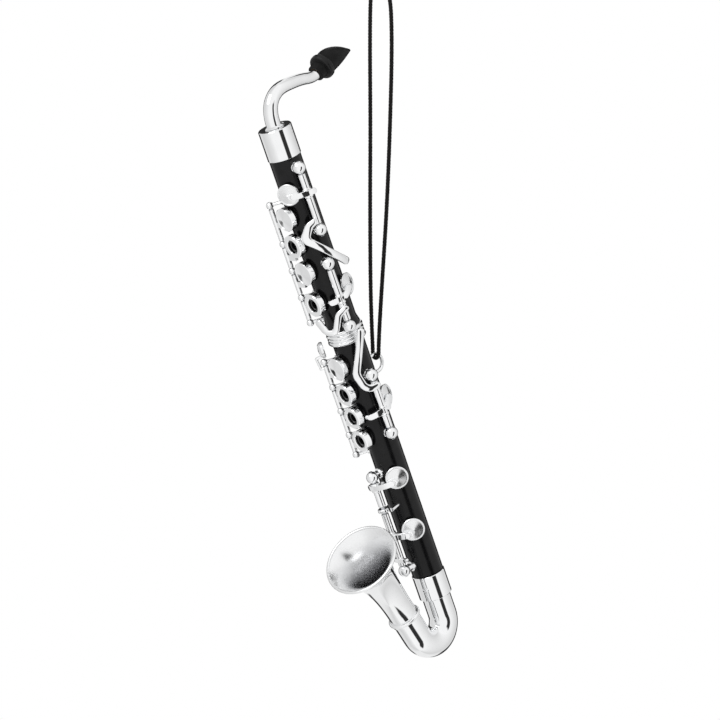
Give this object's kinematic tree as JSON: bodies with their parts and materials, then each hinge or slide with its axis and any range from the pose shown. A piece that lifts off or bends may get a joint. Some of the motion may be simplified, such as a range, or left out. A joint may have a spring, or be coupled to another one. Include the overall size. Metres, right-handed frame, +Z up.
{
  "type": "miniature bass clarinet ornament",
  "caption": "Small hanging model of a bass clarinet: black tube body with bright keywork, curved neck, upturned flared bell and a loop of thin braided cord.",
  "frame": {"origin": "centre of the cord's knot, which is what holds the ornament up", "axes": "+Z up, +X towards the side the mouthpiece points to, -Y the side with the side keys' rods; the body leans 25.6 degrees from the vertical in the XZ plane"},
  "size_m": [0.0527, 0.0155, 0.1471],
  "materials": {
    "chrome_tube": "polished plated",
    "chrome_wire": "polished plated",
    "chrome_keywork": "polished plated",
    "chrome_posts": "polished plated",
    "steel_rod": "drawn",
    "spring_steel": "blued",
    "black_body": "satin gloss",
    "black_mouthpiece": "matt",
    "black_band": "satin",
    "cork": "cork",
    "pad_leather": "soft",
    "black_cord": "braided"
  },
  "bodies": {
    "cord_loop": {"hang_cord": "black_cord", "cord_knot": "black_cord"},
    "instrument": {"receiver": "chrome_tube", "upper_joint": "black_body", "middle_ring": "chrome_tube", "lower_joint": "black_body", "lower_ferrule": "chrome_tube", "bow": "chrome_tube", "bell_ring": "chrome_tube", "bell": "chrome_tube", "hanging_eye": "chrome_wire", "needle_springs": "spring_steel", "low_key_posts": "chrome_posts", "upper_stack_posts": "chrome_posts", "lower_stack_posts": "chrome_posts", "register_key_posts": "chrome_posts", "throat_key_posts": "chrome_posts", "left_hand_key_posts": "chrome_posts", "side_key_rods": "steel_rod", "low_key_rod": "steel_rod", "upper_stack_rod": "steel_rod", "lower_stack_rod": "steel_rod"},
    "neck": {"neck_tube": "chrome_tube", "neck_cork": "cork"},
    "mouthpiece_body": {"mouthpiece": "black_mouthpiece", "ligature_band": "black_band"},
    "register_lever": {"register_key": "chrome_keywork", "register_key_touch": "chrome_keywork", "register_key_cup": "chrome_keywork", "register_key_pad": "pad_leather"},
    "throat_lever": {"throat_key": "chrome_keywork", "throat_key_touch": "chrome_keywork", "throat_key_cup": "chrome_keywork", "throat_key_pad": "pad_leather"},
    "left_hand_lever": {"left_hand_key": "chrome_keywork", "left_hand_key_touch": "chrome_keywork", "left_hand_key_cup": "chrome_keywork", "left_hand_key_pad": "pad_leather"},
    "low_f_lever": {"low_f_key": "chrome_keywork", "low_f_key_cup": "chrome_keywork", "low_f_key_pad": "pad_leather"},
    "low_e_lever": {"low_e_key": "chrome_keywork", "low_e_key_cup": "chrome_keywork", "low_e_key_pad": "pad_leather"},
    "upper_stack_lever_1": {"upper_stack_key_1": "chrome_keywork", "upper_stack_pad_1": "pad_leather"},
    "upper_stack_lever_2": {"upper_stack_key_2": "chrome_keywork"},
    "upper_stack_lever_3": {"upper_stack_key_3": "chrome_keywork", "upper_stack_pad_3": "pad_leather"},
    "upper_stack_lever_4": {"upper_stack_key_4": "chrome_keywork"},
    "lower_stack_lever_1": {"lower_stack_key_1": "chrome_keywork", "lower_stack_pad_1": "pad_leather", "bridge_cup": "chrome_keywork"},
    "lower_stack_lever_2": {"lower_stack_key_2": "chrome_keywork"},
    "lower_stack_lever_3": {"lower_stack_key_3": "chrome_keywork"},
    "lower_stack_lever_4": {"lower_stack_key_4": "chrome_keywork"}
  },
  "joints": [
    {"name": "instrument_swing", "type": "hinge", "parent": "cord_loop", "child": "instrument", "pos_m": [0, 0, -0.08294], "axis": [0, 1, 0], "range_deg": [-30, 6]},
    {"name": "neck_swivel", "type": "hinge", "parent": "instrument", "child": "neck", "pos_m": [-0.0265, 0, -0.0392], "axis": [-0.4321, 0, 0.9018], "range_deg": [-45, 45]},
    {"name": "mouthpiece_pull", "type": "slide", "parent": "neck", "child": "mouthpiece_body", "axis": [0.7638, 0, 0.6455], "range_m": [0, 0.0025]},
    {"name": "register_key_lift", "type": "hinge", "parent": "instrument", "child": "register_lever", "pos_m": [-0.02245, -0.00459, -0.0509], "axis": [-0.4321, 0, 0.9018], "range_deg": [0, 10], "stiffness_Nm_per_rad": 0.0001, "springref_deg": -17.19},
    {"name": "throat_key_lift", "type": "hinge", "parent": "instrument", "child": "throat_lever", "pos_m": [-0.01429, -0.00431, -0.06955], "axis": [0.4321, 0, -0.9018], "range_deg": [0, 8], "stiffness_Nm_per_rad": 0.0001, "springref_deg": -17.19},
    {"name": "left_hand_key_lift", "type": "hinge", "parent": "instrument", "child": "left_hand_lever", "pos_m": [-0.00292, -0.00466, -0.0911], "axis": [0.4321, 0, -0.9018], "range_deg": [0, 10], "stiffness_Nm_per_rad": 0.0001, "springref_deg": -17.19},
    {"name": "low_f_key_press", "type": "hinge", "parent": "instrument", "child": "low_f_lever", "pos_m": [0.00101, 0.00047, -0.10907], "axis": [-0.4321, 0, 0.9018], "range_deg": [0, 2.5], "stiffness_Nm_per_rad": 0.0001, "springref_deg": -17.19},
    {"name": "low_e_key_press", "type": "hinge", "parent": "instrument", "child": "low_e_lever", "pos_m": [0.00572, 0.00047, -0.1189], "axis": [-0.4321, 0, 0.9018], "range_deg": [0, 2.5], "stiffness_Nm_per_rad": 0.0001, "springref_deg": -17.19},
    {"name": "upper_stack_press_1", "type": "hinge", "parent": "instrument", "child": "upper_stack_lever_1", "pos_m": [-0.02316, 0.00417, -0.05583], "axis": [-0.4321, 0, 0.9018], "range_deg": [0, 2.5], "stiffness_Nm_per_rad": 0.0001, "springref_deg": -17.19},
    {"name": "upper_stack_press_2", "type": "hinge", "parent": "instrument", "child": "upper_stack_lever_2", "pos_m": [-0.02011, 0.00417, -0.06219], "axis": [-0.4321, 0, 0.9018], "range_deg": [0, 2.5], "stiffness_Nm_per_rad": 0.0001, "springref_deg": -17.19},
    {"name": "upper_stack_press_3", "type": "hinge", "parent": "instrument", "child": "upper_stack_lever_3", "pos_m": [-0.0176, 0.00417, -0.06742], "axis": [-0.4321, 0, 0.9018], "range_deg": [0, 2.5], "stiffness_Nm_per_rad": 0.0001, "springref_deg": -17.19},
    {"name": "upper_stack_press_4", "type": "hinge", "parent": "instrument", "child": "upper_stack_lever_4", "pos_m": [-0.01516, 0.00417, -0.07252], "axis": [-0.4321, 0, 0.9018], "range_deg": [0, 2.5], "stiffness_Nm_per_rad": 0.0001, "springref_deg": -17.19},
    {"name": "lower_stack_press_1", "type": "hinge", "parent": "instrument", "child": "lower_stack_lever_1", "pos_m": [-0.00903, 0.00417, -0.08532], "axis": [-0.4321, 0, 0.9018], "range_deg": [0, 2.5], "stiffness_Nm_per_rad": 0.0001, "springref_deg": -17.19},
    {"name": "lower_stack_press_2", "type": "hinge", "parent": "instrument", "child": "lower_stack_lever_2", "pos_m": [-0.00669, 0.00417, -0.09019], "axis": [-0.4321, 0, 0.9018], "range_deg": [0, 2.5], "stiffness_Nm_per_rad": 0.0001, "springref_deg": -17.19},
    {"name": "lower_stack_press_3", "type": "hinge", "parent": "instrument", "child": "lower_stack_lever_3", "pos_m": [-0.0044, 0.00417, -0.09497], "axis": [-0.4321, 0, 0.9018], "range_deg": [0, 2.5], "stiffness_Nm_per_rad": 0.0001, "springref_deg": -17.19},
    {"name": "lower_stack_press_4", "type": "hinge", "parent": "instrument", "child": "lower_stack_lever_4", "pos_m": [-0.00231, 0.00417, -0.09935], "axis": [-0.4321, 0, 0.9018], "range_deg": [0, 2.5], "stiffness_Nm_per_rad": 0.0001, "springref_deg": -17.19}
  ]
}
